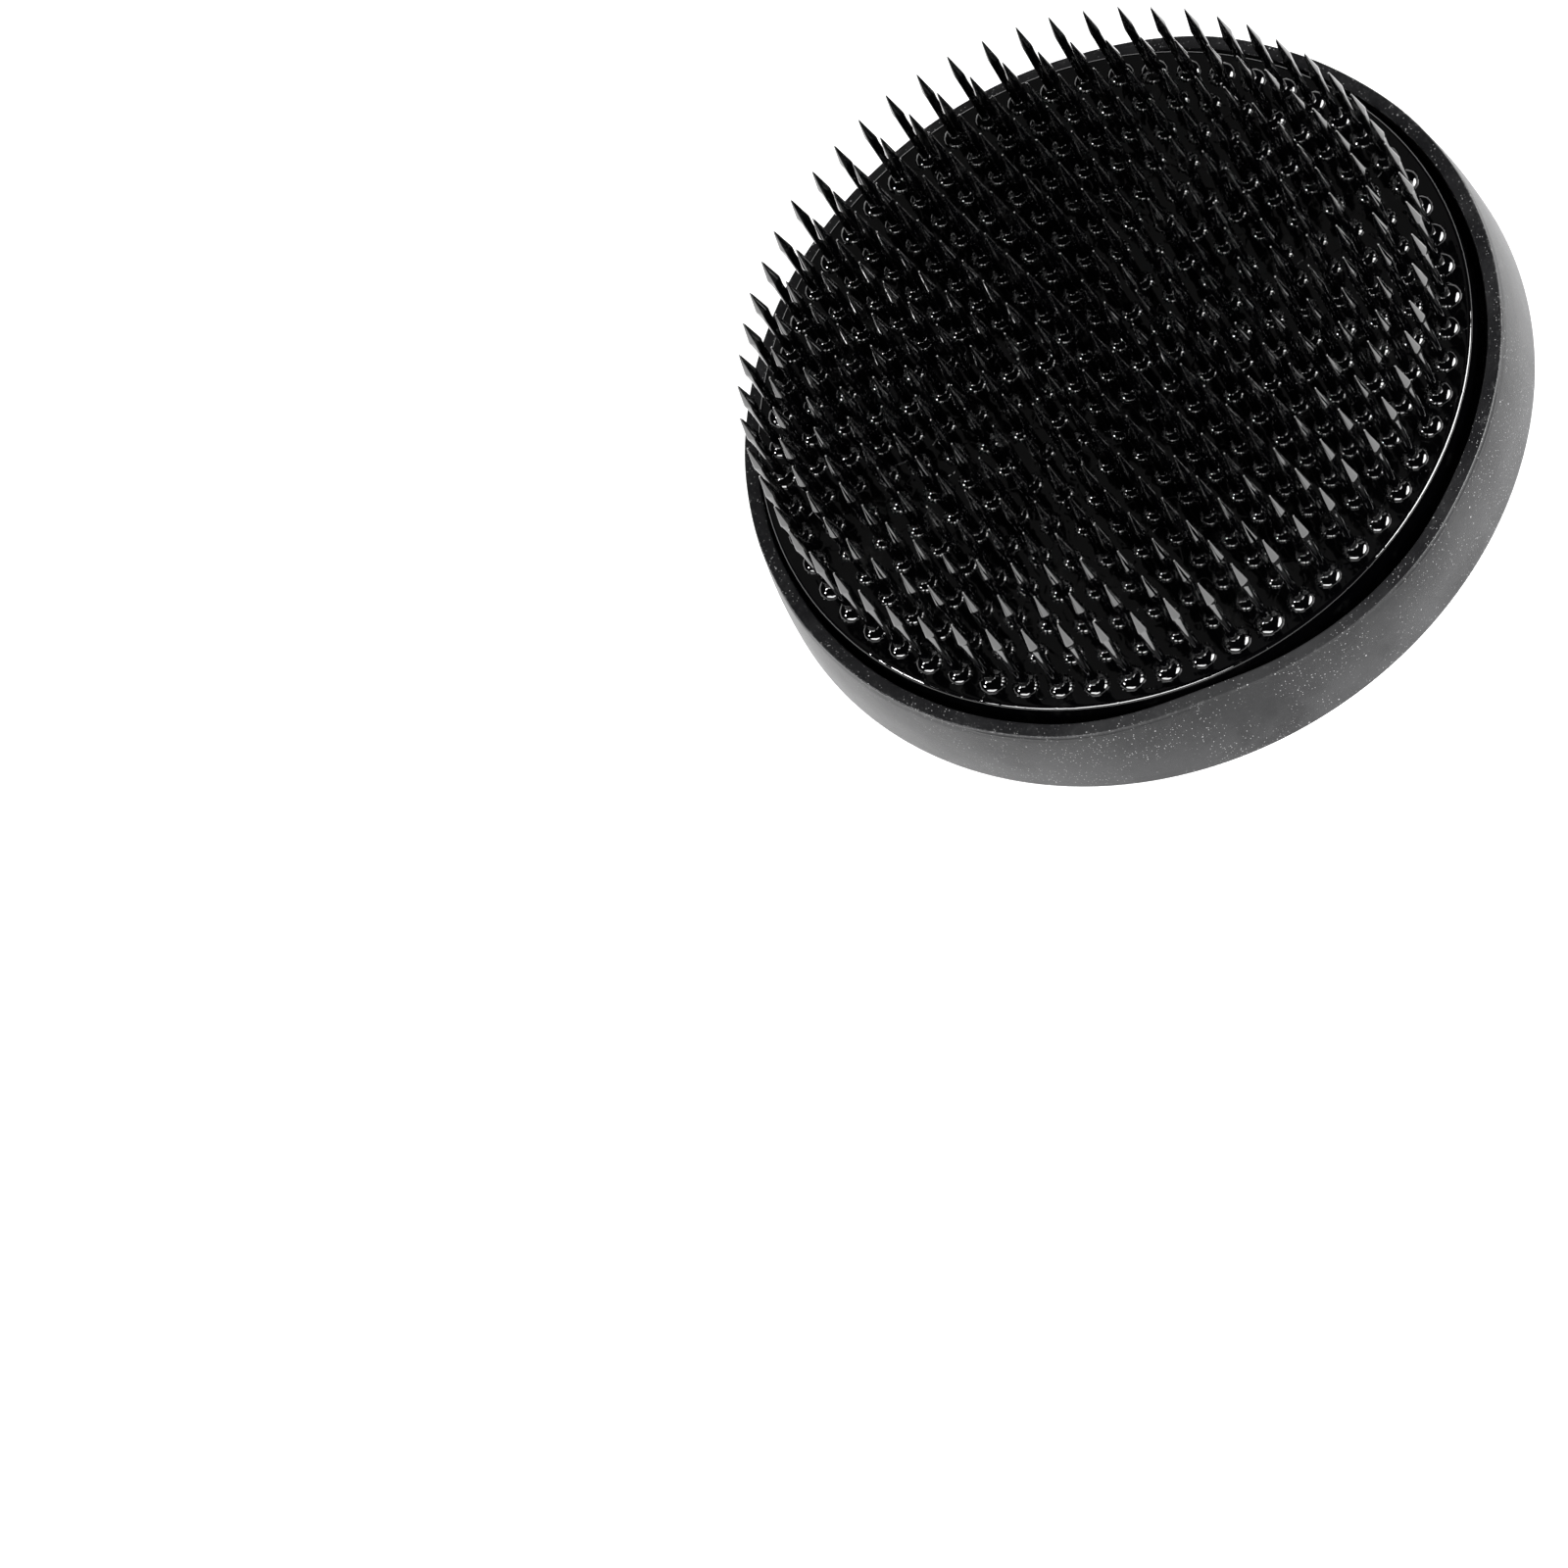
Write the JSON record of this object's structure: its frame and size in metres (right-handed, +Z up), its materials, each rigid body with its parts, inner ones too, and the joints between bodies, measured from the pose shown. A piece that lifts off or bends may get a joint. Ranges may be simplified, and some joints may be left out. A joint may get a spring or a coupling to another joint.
{
  "type": "pin flower frog",
  "caption": "Round kenzan flower frog: a heavy cast plate set with rings of upright four-sided needles, lying loose in a rubber ring that guards the vase.",
  "frame": {"origin": "centre of the underside of the rubber ring, where the frog stands on its surface", "axes": "+Z up along the needles; +X from the centre through the first needle of every ring"},
  "size_m": [0.08, 0.08, 0.0221],
  "materials": {
    "rubber": "satin charcoal rubber with a fine dusty bloom",
    "lacquered_plate": "thick glossy black lacquer on cast lead alloy",
    "lacquered_needle": "thin glossy black lacquer on brass wire"
  },
  "bodies": {
    "ring": {"rubber_ring": "rubber"},
    "frog": {"base_plate": "lacquered_plate", "centre_needle": "lacquered_needle", "needle_ring_1": "lacquered_needle", "needle_ring_2": "lacquered_needle", "needle_ring_3": "lacquered_needle", "needle_ring_4": "lacquered_needle", "needle_ring_5": "lacquered_needle", "needle_ring_6": "lacquered_needle", "needle_ring_7": "lacquered_needle", "needle_ring_8": "lacquered_needle", "needle_ring_9": "lacquered_needle", "needle_ring_10": "lacquered_needle"}
  },
  "joints": [
    {"name": "lift_out", "type": "slide", "parent": "ring", "child": "frog", "axis": [0, 0, 1], "range_m": [0, 0.012]}
  ]
}
